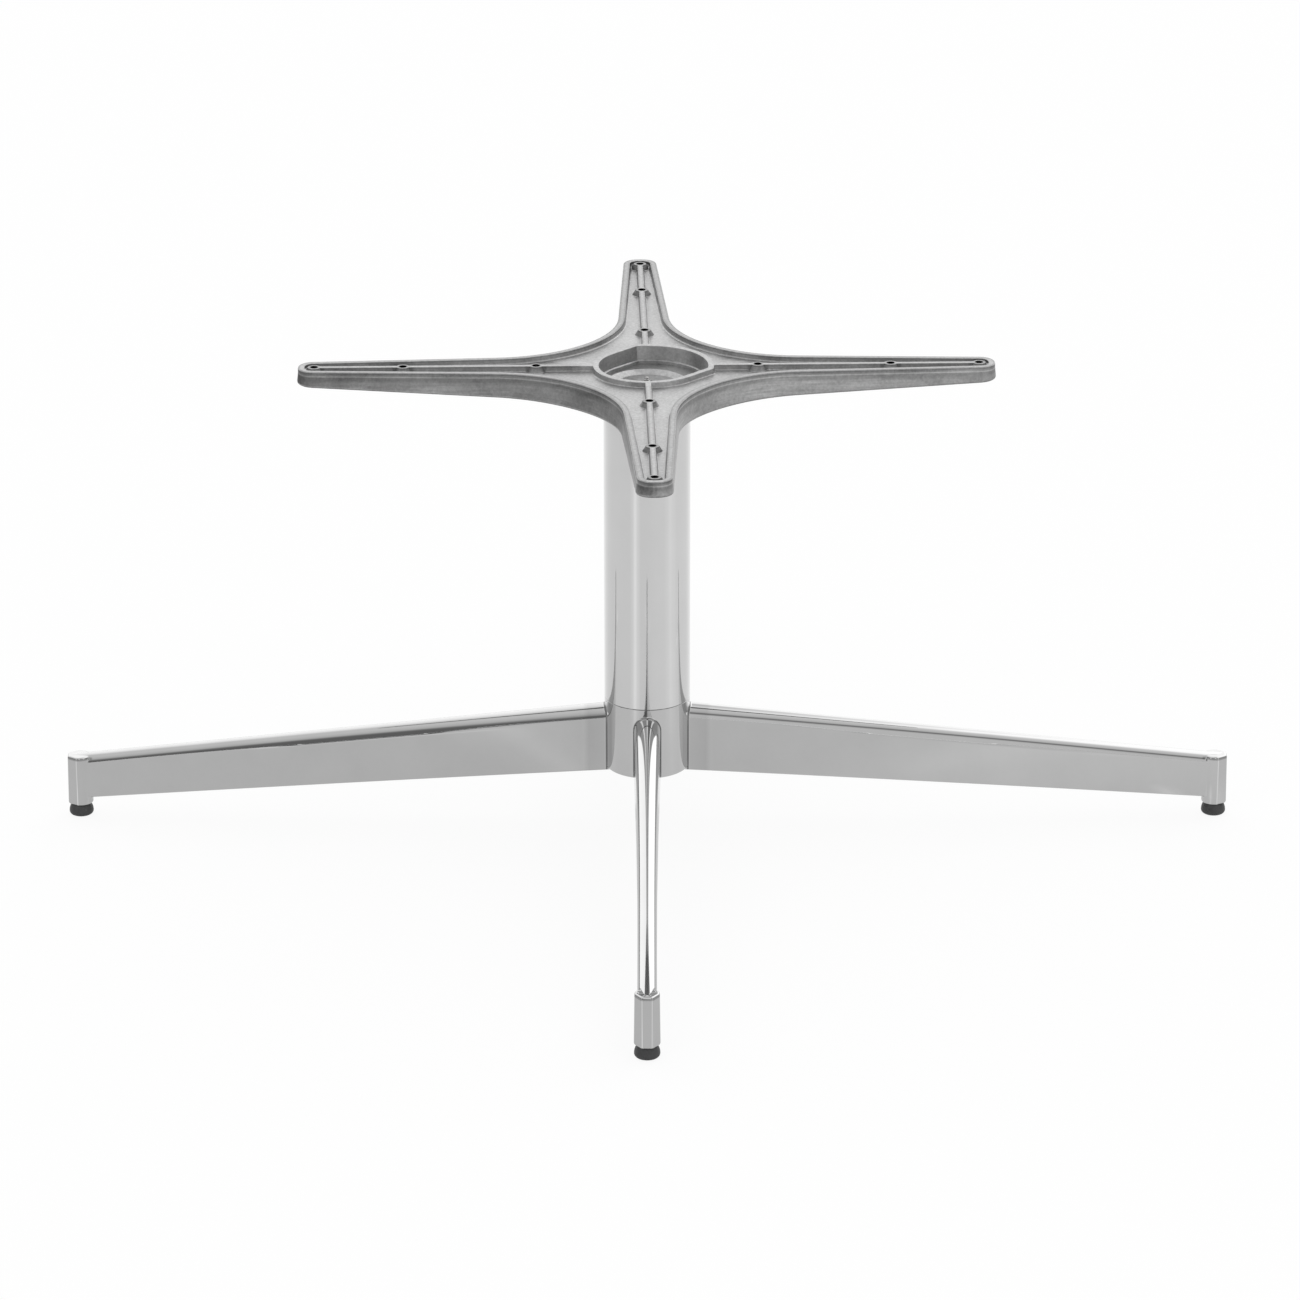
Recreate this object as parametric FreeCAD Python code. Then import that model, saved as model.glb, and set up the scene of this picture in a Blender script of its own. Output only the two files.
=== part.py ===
import FreeCAD, Part
import math
import os
from FreeCAD import Vector

# Overall, in millimetres. Z is up, the floor is z = 0 and the column stands on the Z axis.
# Legs and arms point right (+X), back (+Y), left and front.
base_height = 418.0
glide_circle_r = 500.7
sides = ("right", "back", "left", "front")

# Column tube
column_r = 37.5
column_wall = 2.5
joint_z = 112.5
joint_chamfer = 0.35

# Top spider casting: plan of one arm, measured from the axis
spider_turn = 1.28
inner_circle_r = 95.25
middle_circle_r = 209.55
outer_circle_r = 285.75
arm_end_margin = 13.75
arm_root_r = 135.0
arm_root_half = 22.0
arm_tip_half = 14.2
arm_corner_r = 13.2
arm_valley_r = 113.0

# Top spider casting: depths below the top, the upright band under the rim and the edge radii
spider_hub_depth = 24.0
spider_tip_depth = 13.5
spider_flat_r = 70.0
spider_draft = 6.0
spider_edge_r = 2.0
spider_band = 3.6
spider_top_edge_r = 1.0

# Top spider casting: channel, ribs, bosses and holes
rim_width = 5.6
channel_depth = 4.6
channel_draft = 12.0
rib_width = 4.8
rib_draft = 11.0
rim_foot_r = 1.5
rib_foot_r = 1.0
rim_edge_r = 0.5
hole_r = 3.25
boss_wall = 2.25
boss_flare = 2.8

# Top spider casting: pocket over the column, a round with two flats and a round nose
pocket_r = 52.0
pocket_half = 42.5
pocket_shift = 1.2
pocket_turn = 45.0
pocket_lip = 4.8
pocket_depth = 12.0
pocket_taper = 2.0
ledge_width = 1.4
ledge_fall = 0.7
ledge_to_floor = 3.6
dish_margin = 4.3
dish_depth = 3.4
dish_slope = 5.3
nut_recess_gap = 2.0
nut_recess_depth = 9.0
nut_boss_wall = 5.0
nut_seat_floor = 5.0

# Rings that enter the two ends of the column
spigot_clearance = 0.2
spigot_length = 18.0
spigot_wall = 6.0
spigot_lead = 1.5

# Star base casting: hub
hub_bottom_z = 47.2
hub_bottom_edge_r = 3.0
hub_wall = 7.0
hub_hollow_depth = 19.5
hub_web = 9.0
hub_cavity_draft = 1.5
hub_boss_wall = 3.0
hub_boss_drop = 8.0

# Star base casting: one leg, with a full-round top and straight sides
leg_half_tip = 7.9
leg_flare_start_r = 385.0
leg_flare_arc_r = 16600.0
leg_ridge_below_joint = 7.7
leg_under_drop = 1.7
leg_under_rise = 7.6
leg_under_edge_r = 1.2
leg_root_r = 2.0
leg_wall = 4.2
leg_roof = 12.0
leg_core_draft = 1.0
leg_core_gap = 5.0
flare_steps = 4
core_steps = 6

# Star base casting: foot boss at the end of each leg
foot_half = 10.8
foot_flat_half = 4.9
foot_side_end = 2.3
foot_corner_r = 3.5
foot_bottom_z = 10.6
foot_top_z = 56.4
foot_draft = 0.7
foot_bottom_edge_r = 2.2
foot_top_edge_r = 2.0
foot_blend_r = 3.4
ridge_run_out = 5.2

# Glides: plastic pad on a threaded stud
pad_inset = 0.15
pad_wide_z = 3.3
pad_flat_r = 7.6
pad_neck_r = 8.1
stud_r = 4.0
stud_clearance = 0.05
stud_in_pad = 8.0
stud_in_foot = 18.0
stud_hole_spare = 2.0
stud_lead = 1.0

# Tie rod with a washer and a nut at each end
rod_r = 4.0
rod_clearance = 0.5
rod_tip_r = 1.2
rod_tip_length = 5.6
rod_stand_out_top = 8.1
rod_stand_out_under = 5.5
rod_chamfer = 0.8
nut_clearance = 0.05
nut_flats = 13.0
nut_height = 6.5
nut_chamfer = 30.0
washer_r = 12.0
washer_clearance = 0.2
washer_thickness = 2.0

# How far a cut runs past the face that it opens, and how close two heights or radii count as equal
cut_margin = 1.0
tolerance = 0.02

# Sizes that follow from those above
quarter_turn = 360.0 / len(sides)
hole_circle_radii = (inner_circle_r, middle_circle_r, outer_circle_r)
arm_reach = outer_circle_r + arm_end_margin
spider_bottom_z = base_height - spider_hub_depth
channel_z = base_height - channel_depth
ledge_z = base_height - pocket_depth
pocket_floor_z = ledge_z - ledge_to_floor
dish_z = pocket_floor_z - dish_depth
dish_r = pocket_half - pocket_taper - ledge_width - dish_margin
upper_seat_z = dish_z - nut_recess_depth
nut_recess_r = washer_r + nut_recess_gap
spigot_r = column_r - column_wall - spigot_clearance
hub_web_top_z = joint_z - hub_hollow_depth
hub_web_z = hub_web_top_z - hub_web
lower_seat_z = hub_web_z - hub_boss_drop
rod_hole_r = rod_r + rod_clearance
stud_hole_r = stud_r + stud_clearance

up = Vector(0, 0, 1)
middle = Vector(0, 0, 0)


def tan_of(degrees):
    return math.tan(math.radians(degrees))


def turned(shape, angle):
    copy = shape.copy()
    copy.rotate(middle, up, angle)
    return copy


def moved(shape, x, y, z):
    copy = shape.copy()
    copy.translate(Vector(x, y, z))
    return copy


def all_round(shape):
    return [turned(shape, k * quarter_turn) for k in range(len(sides))]


def arc_edge(start, through, end):
    return Part.Arc(start, through, end).toShape()


def line_edge(start, end):
    return Part.LineSegment(start, end).toShape()


def polygon_face(corners):
    return Part.Face(Part.makePolygon(corners + corners[:1]))


def cylinder(radius, low, high):
    return Part.makeCylinder(radius, high - low, Vector(0, 0, low))


def frustum(low_r, high_r, low, high):
    return Part.makeCone(low_r, high_r, high - low, Vector(0, 0, low))


def revolved(points):
    """A solid of revolution about Z from (radius, height) points."""
    face = polygon_face([Vector(radius, 0, z) for radius, z in points])
    return face.revolve(middle, up, 360)


def lofted(wires):
    """A solid with straight sides from each wire to the next."""
    return Part.makeLoft(wires, True, True)


# Top spider


def arm_side(grow):
    """Tangent points of one side of the arm along X, and the arcs at both of its ends."""
    slope = math.atan2(arm_root_half - arm_tip_half, arm_reach - arm_root_r)
    out = Vector(math.sin(slope), math.cos(slope), 0)

    def half_at(x):
        return arm_root_half - math.tan(slope) * (x - arm_root_r)

    corner_x = arm_reach - arm_corner_r
    corner = Vector(corner_x, half_at(corner_x) - arm_corner_r / math.cos(slope), 0)
    valley_x = (arm_valley_r / math.cos(slope) + half_at(0)) / (1 + math.tan(slope))
    valley = Vector(valley_x, valley_x, 0)
    corner_r = arm_corner_r + grow
    valley_r = arm_valley_r - grow
    return {
        "end": corner + Vector(corner_r, 0, 0),
        "corner_mid": corner + (Vector(1, 0, 0) + out).normalize() * corner_r,
        "side_out": corner + out * corner_r,
        "side_in": valley - out * valley_r,
        "valley_mid": valley - Vector(1, 1, 0).normalize() * valley_r,
    }


def spider_outline(grow, z):
    """Plan of the spider, grown outwards by a distance, as one closed wire."""
    p = arm_side(grow)

    def mirrored(point):
        return Vector(point.x, -point.y, 0)

    def swapped(point):
        return Vector(point.y, point.x, 0)

    quarter = [
        line_edge(mirrored(p["end"]), p["end"]),
        arc_edge(p["end"], p["corner_mid"], p["side_out"]),
        line_edge(p["side_out"], p["side_in"]),
        arc_edge(p["side_in"], p["valley_mid"], swapped(p["side_in"])),
        line_edge(swapped(p["side_in"]), swapped(p["side_out"])),
        arc_edge(swapped(p["side_out"]), swapped(p["corner_mid"]), swapped(p["end"])),
    ]
    edges = []
    for k in range(len(sides)):
        edges += [moved(turned(edge, k * quarter_turn), 0, 0, z) for edge in quarter]
    return Part.Wire(edges)


def pocket_outline(grow, z):
    """Round at the back, two flats and a round nose, grown outwards by a distance."""
    half = pocket_half + grow
    back_r = pocket_r + grow
    back_x = math.sqrt(back_r ** 2 - half ** 2)
    wire = Part.Wire([
        arc_edge(Vector(back_x, -half, z), Vector(back_r, 0, z), Vector(back_x, half, z)),
        line_edge(Vector(back_x, half, z), Vector(0, half, z)),
        arc_edge(Vector(0, half, z), Vector(-half, 0, z), Vector(0, -half, z)),
        line_edge(Vector(0, -half, z), Vector(back_x, -half, z)),
    ])
    return turned(moved(wire, 0, -pocket_shift, 0), pocket_turn)


def top_edges(shape):
    """Edges that lie level in the top of the casting."""
    return [edge for edge in shape.Edges if edge.BoundBox.ZMin > base_height - tolerance]


def floor_edges(shape):
    """Edges that lie level in the floor of the channel."""
    level = [edge for edge in shape.Edges if edge.BoundBox.ZLength < tolerance]
    return [edge for edge in level if abs(edge.BoundBox.ZMin - channel_z) < tolerance]


def under_circle(edge):
    """True for the circle where the flat underside meets the rising undersides of the arms."""
    box = edge.BoundBox
    far = max(box.XMax, -box.XMin, box.YMax, -box.YMin)
    level = box.ZMax < spider_bottom_z + tolerance
    return level and far < spider_flat_r + tolerance


def spider_body():
    """Blank with an upright band, drafted sides below it, rising undersides and soft edges."""
    spread = (spider_hub_depth - spider_band) * tan_of(spider_draft)
    body = lofted([
        spider_outline(0, base_height),
        spider_outline(0, base_height - spider_band),
        spider_outline(spread, spider_bottom_z),
    ])
    reach = arm_reach + spread + cut_margin
    rise = (spider_hub_depth - spider_tip_depth) / (arm_reach - spider_flat_r)
    below_arms = revolved([
        (spider_flat_r, spider_bottom_z),
        (reach, spider_bottom_z + rise * (reach - spider_flat_r)),
        (reach, spider_bottom_z - cut_margin),
        (spider_flat_r, spider_bottom_z - cut_margin),
    ])
    body = body.cut(below_arms)
    half_way_z = base_height - spider_tip_depth / 2
    low_edges = [edge for edge in body.Edges if edge.BoundBox.ZMax < half_way_z]
    body = body.makeFillet(spider_edge_r, [edge for edge in low_edges if not under_circle(edge)])
    return body.makeFillet(spider_top_edge_r, top_edges(body))


def rib():
    """Rib along the arm on X, from the pocket's lip to the outer boss."""
    half_top = rib_width / 2
    half_low = half_top + channel_depth * tan_of(rib_draft)
    section = polygon_face([
        Vector(pocket_half, -half_low, channel_z),
        Vector(pocket_half, half_low, channel_z),
        Vector(pocket_half, half_top, base_height),
        Vector(pocket_half, -half_top, base_height),
    ])
    return section.extrude(Vector(outer_circle_r - pocket_half, 0, 0))


def arm_bosses():
    top_r = hole_r + boss_wall
    boss = frustum(top_r + boss_flare, top_r, channel_z, base_height)
    return [moved(boss, radius, 0, 0) for radius in hole_circle_radii]


def channel():
    """The sunk top between the rim, the ribs, the bosses and the pocket's lip."""
    inset = channel_depth * tan_of(channel_draft)
    sunk = lofted([
        spider_outline(-rim_width, base_height),
        spider_outline(-rim_width - inset, channel_z),
    ])
    sunk = sunk.makeFillet(rim_foot_r, floor_edges(sunk))
    lip = lofted([
        pocket_outline(pocket_lip, base_height),
        pocket_outline(pocket_lip + inset, channel_z),
    ])
    keep = [lip]
    for raised in [rib()] + arm_bosses():
        keep += all_round(raised)
    sunk = sunk.cut(keep)
    return sunk.makeFillet(rib_foot_r, floor_edges(sunk))


def pocket():
    """Stepped hollow over the column, down to the seat of the upper washer."""
    inner = -pocket_taper - ledge_width
    walls = lofted([
        pocket_outline(0, base_height),
        pocket_outline(-pocket_taper, ledge_z),
        pocket_outline(inner, ledge_z - ledge_fall),
        pocket_outline(inner, pocket_floor_z),
    ])
    dish = frustum(dish_r - dish_slope, dish_r, dish_z, pocket_floor_z)
    recess = cylinder(nut_recess_r, upper_seat_z, dish_z)
    return walls.fuse([dish, recess])


def spider_spigot():
    """Ring that enters the column, and the boss that holds the seat of the upper washer."""
    inner = spigot_r - spigot_wall
    low = spider_bottom_z - spigot_length
    collar = revolved([
        (inner, spider_bottom_z),
        (inner, low),
        (spigot_r - spigot_lead, low),
        (spigot_r, low + spigot_lead),
        (spigot_r, spider_bottom_z),
    ])
    boss = cylinder(nut_recess_r + nut_boss_wall, upper_seat_z - nut_seat_floor, spider_bottom_z)
    return [collar, boss]


def arm_holes():
    drill = cylinder(hole_r, spider_bottom_z - cut_margin, base_height + cut_margin)
    holes = []
    for radius in hole_circle_radii:
        holes += all_round(moved(drill, radius, 0, 0))
    return holes


def top_spider():
    body = spider_body().cut(channel())
    body = body.fuse(spider_spigot())
    rod_hole = cylinder(rod_hole_r, spider_bottom_z - spigot_length, base_height)
    body = body.cut([pocket(), rod_hole])
    body = body.makeFillet(rim_edge_r, top_edges(body))
    return turned(body.cut(arm_holes()), spider_turn)


# Column


def column_tube():
    inner = column_r - column_wall
    return revolved([
        (inner, joint_z),
        (column_r - joint_chamfer, joint_z),
        (column_r, joint_z + joint_chamfer),
        (column_r, spider_bottom_z),
        (inner, spider_bottom_z),
    ])


# Star base


def leg_half(radius):
    """Half width of a leg: parallel at the tip, flared on a long arc towards the hub."""
    inside = max(leg_flare_start_r - radius, 0)
    return leg_half_tip + inside ** 2 / (2 * leg_flare_arc_r)


def straight_fall(hub_z, foot_z, foot_r, radius):
    """Height on a straight line from the side of the hub down to the foot."""
    return hub_z + (foot_z - hub_z) * (radius - column_r) / (foot_r - column_r)


def ridge_z(radius):
    return straight_fall(joint_z - leg_ridge_below_joint, foot_top_z, glide_circle_r + ridge_run_out, radius)


def under_z(radius):
    foot_z = foot_bottom_z + leg_under_rise
    return straight_fall(hub_bottom_z - leg_under_drop, foot_z, glide_circle_r - foot_half, radius)


def leg_section(radius):
    """Section across a leg: round top, straight sides, flat bottom with small corners."""
    half = leg_half(radius)
    ridge = ridge_z(radius)
    under = under_z(radius)
    side = ridge - half
    edge = leg_under_edge_r
    bulge = edge * (1 - math.sqrt(0.5))

    def at(y, z):
        return Vector(radius, y, z)

    return Part.Wire([
        line_edge(at(edge - half, under), at(half - edge, under)),
        arc_edge(at(half - edge, under), at(half - bulge, under + bulge), at(half, under + edge)),
        line_edge(at(half, under + edge), at(half, side)),
        arc_edge(at(half, side), at(0, ridge), at(-half, side)),
        line_edge(at(-half, side), at(-half, under + edge)),
        arc_edge(at(-half, under + edge), at(bulge - half, under + bulge), at(edge - half, under)),
    ])


def stations(start, end, steps):
    return [start + (end - start) * k / steps for k in range(steps + 1)]


def leg_bar():
    """Leg from inside the hub: the flare, then a straight part whose ridge runs out in the foot boss."""
    flare = [leg_section(radius) for radius in stations(column_r - hub_wall, leg_flare_start_r, flare_steps)]
    straight = [leg_section(leg_flare_start_r), leg_section(glide_circle_r + ridge_run_out)]
    return Part.makeLoft(flare, True, False, False, 3).fuse(lofted(straight))


def leg_core():
    """Hollow that is cored out of the underside of a leg, between the hub and the foot boss."""
    sections = []
    for radius in stations(column_r + leg_core_gap, glide_circle_r - foot_half - leg_core_gap, core_steps):
        low = under_z(radius) - cut_margin
        high = ridge_z(radius) - leg_roof
        half_low = leg_half(radius) - leg_wall
        half_high = half_low - (high - low) * tan_of(leg_core_draft)
        corners = [
            Vector(radius, -half_low, low),
            Vector(radius, half_low, low),
            Vector(radius, half_high, high),
            Vector(radius, -half_high, high),
        ]
        sections.append(Part.makePolygon(corners + corners[:1]))
    return Part.makeLoft(sections, True, False)


def soft_corner(before, at, after, radius):
    """Where an arc in a corner starts, where it bulges most and where it ends."""
    back = (before - at).normalize()
    ahead = (after - at).normalize()
    half_angle = back.getAngle(ahead) / 2
    reach = radius / math.tan(half_angle)
    bulge = (back + ahead).normalize() * (radius / math.sin(half_angle) - radius)
    return at + back * reach, at + bulge, at + ahead * reach


def foot_outline(grow, z):
    """Plan of a foot boss: round towards the leg, three flats with soft corners at the end."""
    half = foot_half + grow
    flat = foot_flat_half
    points = [(0, -half), (foot_side_end, -half), (half, -flat), (half, flat), (foot_side_end, half), (0, half)]
    corners = [Vector(x, y, z) for x, y in points]
    edges = []
    last = corners[0]
    for before, at, after in zip(corners, corners[1:], corners[2:]):
        start, bulge, end = soft_corner(before, at, after, foot_corner_r)
        edges.append(line_edge(last, start))
        edges.append(arc_edge(start, bulge, end))
        last = end
    edges.append(line_edge(last, corners[-1]))
    edges.append(arc_edge(corners[-1], Vector(-half, 0, z), corners[0]))
    return Part.Wire(edges)


def foot_boss():
    shrink = (foot_top_z - foot_bottom_z) * tan_of(foot_draft)
    boss = lofted([foot_outline(0, foot_bottom_z), foot_outline(-shrink, foot_top_z)])
    bottom = [edge for edge in boss.Edges if edge.BoundBox.ZMax < foot_bottom_z + tolerance]
    boss = boss.makeFillet(foot_bottom_edge_r, bottom)
    top = [edge for edge in boss.Edges if edge.BoundBox.ZMin > foot_top_z - tolerance]
    boss = boss.makeFillet(foot_top_edge_r, top)
    return moved(boss, glide_circle_r, 0, 0)


def foot_seam(edge):
    """True for an upright edge where the foot boss swells out of a side of the leg."""
    box = edge.BoundBox
    beside = box.XMin > glide_circle_r - foot_half and box.XMax < glide_circle_r
    on_side = box.YMin * box.YMax > 0 and min(abs(box.YMin), abs(box.YMax)) < leg_half_tip + tolerance
    return beside and on_side and box.ZMax < foot_top_z and box.ZLength > foot_top_edge_r


def leg_and_foot():
    joined = leg_bar().fuse(foot_boss())
    return joined.makeFillet(foot_blend_r, [edge for edge in joined.Edges if foot_seam(edge)])


def lies_on_hub(edge):
    points = edge.discretize(5)
    return max(abs(math.hypot(point.x, point.y) - column_r) for point in points) < tolerance


def leg_root(edge):
    """True where the side of the hub meets a leg."""
    box = edge.BoundBox
    return lies_on_hub(edge) and box.ZMax < joint_z - joint_chamfer - tolerance and box.ZLength > tolerance


def hub_rim(edge):
    """True for the lower rim of the hub between two legs."""
    box = edge.BoundBox
    return lies_on_hub(edge) and abs(box.ZMax - hub_bottom_z) < tolerance and box.ZLength < tolerance


def hub_hollows():
    """Open underside of the hub round the lower nut's boss, the hollow above the web and the rod's hole."""
    cavity_r = column_r - hub_wall
    low = hub_bottom_z - cut_margin
    cavity = frustum(cavity_r, cavity_r - (hub_web_z - low) * tan_of(hub_cavity_draft), low, hub_web_z)
    boss = cylinder(washer_r + hub_boss_wall, lower_seat_z, hub_web_z)
    above = cylinder(spigot_r - spigot_wall, hub_web_top_z, joint_z + spigot_length + cut_margin)
    return [cavity.cut(boss), above, cylinder(rod_hole_r, low, joint_z)]


def hub_spigot():
    """Ring above the joint that the column is pushed over."""
    inner = spigot_r - spigot_wall
    top = joint_z + spigot_length
    return revolved([
        (inner, joint_z - cut_margin),
        (spigot_r, joint_z - cut_margin),
        (spigot_r, top - spigot_lead),
        (spigot_r - spigot_lead, top),
        (inner, top),
    ])


def star_base():
    hub = revolved([
        (0, hub_bottom_z),
        (column_r, hub_bottom_z),
        (column_r, joint_z - joint_chamfer),
        (column_r - joint_chamfer, joint_z),
        (0, joint_z),
    ])
    body = hub.fuse(all_round(leg_and_foot()))
    body = body.makeFillet(leg_root_r, [edge for edge in body.Edges if leg_root(edge)])
    body = body.makeFillet(hub_bottom_edge_r, [edge for edge in body.Edges if hub_rim(edge)])
    body = body.fuse(hub_spigot())
    stud_hole_top = foot_bottom_z + stud_in_foot + stud_hole_spare
    stud_hole = cylinder(stud_hole_r, foot_bottom_z - cut_margin, stud_hole_top)
    hollows = hub_hollows()
    hollows += all_round(leg_core())
    hollows += all_round(moved(stud_hole, glide_circle_r, 0, 0))
    return body.cut(hollows)


# Glides


def arc_from_widest(wide, end):
    """Arc that leaves the widest point of a profile upright and ends at another point."""
    across = wide.x - end.x
    radius = (across ** 2 + (wide.z - end.z) ** 2) / (2 * across)
    centre = wide - Vector(radius, 0, 0)
    half_way = (wide + end) * 0.5 - centre
    return arc_edge(wide, centre + half_way.normalize() * radius, end)


def glide_pad():
    """Domed plastic pad with a narrower neck, moulded around the lower end of its stud."""
    flat = Vector(pad_flat_r, 0, 0)
    wide = Vector(foot_half - pad_inset, 0, pad_wide_z)
    neck = Vector(pad_neck_r, 0, foot_bottom_z)
    top = Vector(0, 0, foot_bottom_z)
    profile = Part.Wire([
        line_edge(middle, flat),
        arc_from_widest(wide, flat),
        arc_from_widest(wide, neck),
        line_edge(neck, top),
        line_edge(top, middle),
    ])
    pad = Part.Face(profile).revolve(middle, up, 360)
    return pad.cut(cylinder(stud_hole_r, foot_bottom_z - stud_in_pad, foot_bottom_z))


def glide_stud():
    low = foot_bottom_z - stud_in_pad
    high = foot_bottom_z + stud_in_foot
    return revolved([
        (0, low),
        (stud_r, low),
        (stud_r, high - stud_lead),
        (stud_r - stud_lead, high),
        (0, high),
    ])


# Tie rod, washers and nuts


def washer(low):
    high = low + washer_thickness
    return cylinder(washer_r, low, high).cut(cylinder(rod_r + washer_clearance, low, high))


def hex_nut(low):
    """Hexagon nut with its corners turned off at both ends."""
    high = low + nut_height
    flat_r = nut_flats / 2
    corner_r = nut_flats / math.sqrt(3)
    drop = (corner_r - flat_r) * tan_of(nut_chamfer)
    first = Vector(corner_r, 0, low)
    corners = [turned(Part.Vertex(first), k * 60).Point for k in range(6)]
    blank = polygon_face(corners).extrude(Vector(0, 0, nut_height))
    turned_off = revolved([
        (0, low),
        (flat_r, low),
        (corner_r, low + drop),
        (corner_r, high - drop),
        (flat_r, high),
        (0, high),
    ])
    return blank.common(turned_off).cut(cylinder(rod_r + nut_clearance, low, high))


def tie_rod():
    """Rod from below the lower nut to a pointed end above the upper nut."""
    top = upper_seat_z + washer_thickness + nut_height + rod_stand_out_top
    low = lower_seat_z - washer_thickness - nut_height - rod_stand_out_under
    return revolved([
        (0, low),
        (rod_r - rod_chamfer, low),
        (rod_r, low + rod_chamfer),
        (rod_r, top - rod_tip_length),
        (rod_tip_r, top),
        (0, top),
    ])


pieces = {
    "top_spider": top_spider(),
    "column_tube": column_tube(),
    "star_base": star_base(),
    "tie_rod": tie_rod(),
    "upper_washer": washer(upper_seat_z),
    "upper_nut": hex_nut(upper_seat_z + washer_thickness),
    "lower_washer": washer(lower_seat_z - washer_thickness),
    "lower_nut": hex_nut(lower_seat_z - washer_thickness - nut_height),
}
for side, pad, stud in zip(
    sides,
    all_round(moved(glide_pad(), glide_circle_r, 0, 0)),
    all_round(moved(glide_stud(), glide_circle_r, 0, 0)),
):
    pieces["glide_pad_" + side] = pad
    pieces["glide_stud_" + side] = stud

os.makedirs("parts", exist_ok=True)
for name, shape in pieces.items():
    shape.exportStep("parts/" + name + ".step")
    print(name, shape.isValid(), len(shape.Solids), round(shape.Volume / 1000, 1), "cm3")
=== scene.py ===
import math

import bmesh
import bpy
from mathutils import Matrix, Vector


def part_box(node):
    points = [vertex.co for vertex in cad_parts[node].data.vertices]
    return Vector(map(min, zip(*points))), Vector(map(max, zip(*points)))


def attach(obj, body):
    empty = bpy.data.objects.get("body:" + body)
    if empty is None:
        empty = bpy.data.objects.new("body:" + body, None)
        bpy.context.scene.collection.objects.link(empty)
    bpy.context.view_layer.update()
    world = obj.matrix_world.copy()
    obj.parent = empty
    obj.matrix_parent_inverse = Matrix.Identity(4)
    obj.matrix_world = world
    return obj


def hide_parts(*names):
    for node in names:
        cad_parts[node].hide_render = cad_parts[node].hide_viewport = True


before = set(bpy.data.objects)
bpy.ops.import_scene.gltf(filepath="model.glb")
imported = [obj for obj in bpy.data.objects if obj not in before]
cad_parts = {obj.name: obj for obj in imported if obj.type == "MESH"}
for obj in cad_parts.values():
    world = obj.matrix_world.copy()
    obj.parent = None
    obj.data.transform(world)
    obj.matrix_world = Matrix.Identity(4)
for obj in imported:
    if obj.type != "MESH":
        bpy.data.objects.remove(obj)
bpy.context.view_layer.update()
print("frame loaded:", len(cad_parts), "parts")

scene = bpy.context.scene


# small helpers for shader trees

def newMaterial(name, metallic):
    material = bpy.data.materials.new(name)
    material.use_nodes = True
    tree = material.node_tree
    shader = tree.nodes["Principled BSDF"]
    shader.inputs["Metallic"].default_value = metallic
    return material, tree, shader


def addNode(tree, kind, settings=None, **inputs):
    # settings are the node's own fields, inputs its unlinked sockets
    node = tree.nodes.new(kind)
    for field, value in (settings or {}).items():
        setattr(node, field, value)
    for socket, value in inputs.items():
        node.inputs[socket.replace("_", " ")].default_value = value
    return node


def objectPoints(tree, scale=(1, 1, 1)):
    # object coordinates in metres, stretched by scale
    mapping = addNode(tree, "ShaderNodeMapping", None, Scale=scale)
    tree.links.new(addNode(tree, "ShaderNodeTexCoord").outputs["Object"], mapping.inputs["Vector"])
    return mapping.outputs["Vector"]


def noise(tree, points, scale=1.0, detail=3.0, roughness=0.55, distortion=0.0):
    node = addNode(tree, "ShaderNodeTexNoise", None,
                   Scale=scale, Detail=detail, Roughness=roughness, Distortion=distortion)
    tree.links.new(points, node.inputs["Vector"])
    return node.outputs["Fac"]


def spread(tree, value, low, high, fromLow=0.3, fromHigh=0.7):
    # maps fromLow..fromHigh, by default the middle range of a noise, to low..high
    node = addNode(tree, "ShaderNodeMapRange", None,
                   From_Min=fromLow, From_Max=fromHigh, To_Min=low, To_Max=high)
    tree.links.new(value, node.inputs["Value"])
    return node.outputs["Result"]


def swing(tree, value, middle, change):
    # a noise as middle plus or minus change
    return spread(tree, value, middle - change, middle + change)


def rising(tree, value, start, end):
    # 0 up to start and 1 from end on
    return spread(tree, value, 0.0, 1.0, start, end)


def falling(tree, value, start, end):
    return spread(tree, value, 1.0, 0.0, start, end)


def towards(tree, share, level):
    # 1 where share is 0 and level where share is 1
    return spread(tree, share, 1.0, level, 0.0, 1.0)


def maths(tree, operation, first, second=0.0):
    node = addNode(tree, "ShaderNodeMath", {"operation": operation})
    for socket, value in zip(node.inputs, (first, second)):
        if isinstance(value, (int, float)):
            socket.default_value = value
        else:
            tree.links.new(value, socket)
    return node.outputs["Value"]


def absolute(tree, value):
    return maths(tree, "ABSOLUTE", value)


def product(tree, total, *others):
    for other in others:
        total = maths(tree, "MULTIPLY", total, other)
    return total


def hypotenuse(tree, first, second):
    square = maths(tree, "ADD", maths(tree, "POWER", first, 2.0), maths(tree, "POWER", second, 2.0))
    return maths(tree, "SQRT", square)


def vectorMaths(tree, operation, *vectors):
    node = addNode(tree, "ShaderNodeVectorMath", {"operation": operation})
    for socket, vector in zip(node.inputs, vectors):
        tree.links.new(vector, socket)
    return node.outputs["Value"]


def separated(tree, points):
    node = addNode(tree, "ShaderNodeSeparateXYZ")
    tree.links.new(points, node.inputs["Vector"])
    return node.outputs


def foldedSides(tree, points):
    # the four legs or arms laid on one another: how far along and how far across
    parts = separated(tree, points)
    sides = [absolute(tree, parts[axis]) for axis in ("X", "Y")]
    return maths(tree, "MAXIMUM", *sides), maths(tree, "MINIMUM", *sides)


def levelLength(tree):
    # distance from the upright axis through the column
    return vectorMaths(tree, "LENGTH", objectPoints(tree, (1, 1, 0)))


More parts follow.
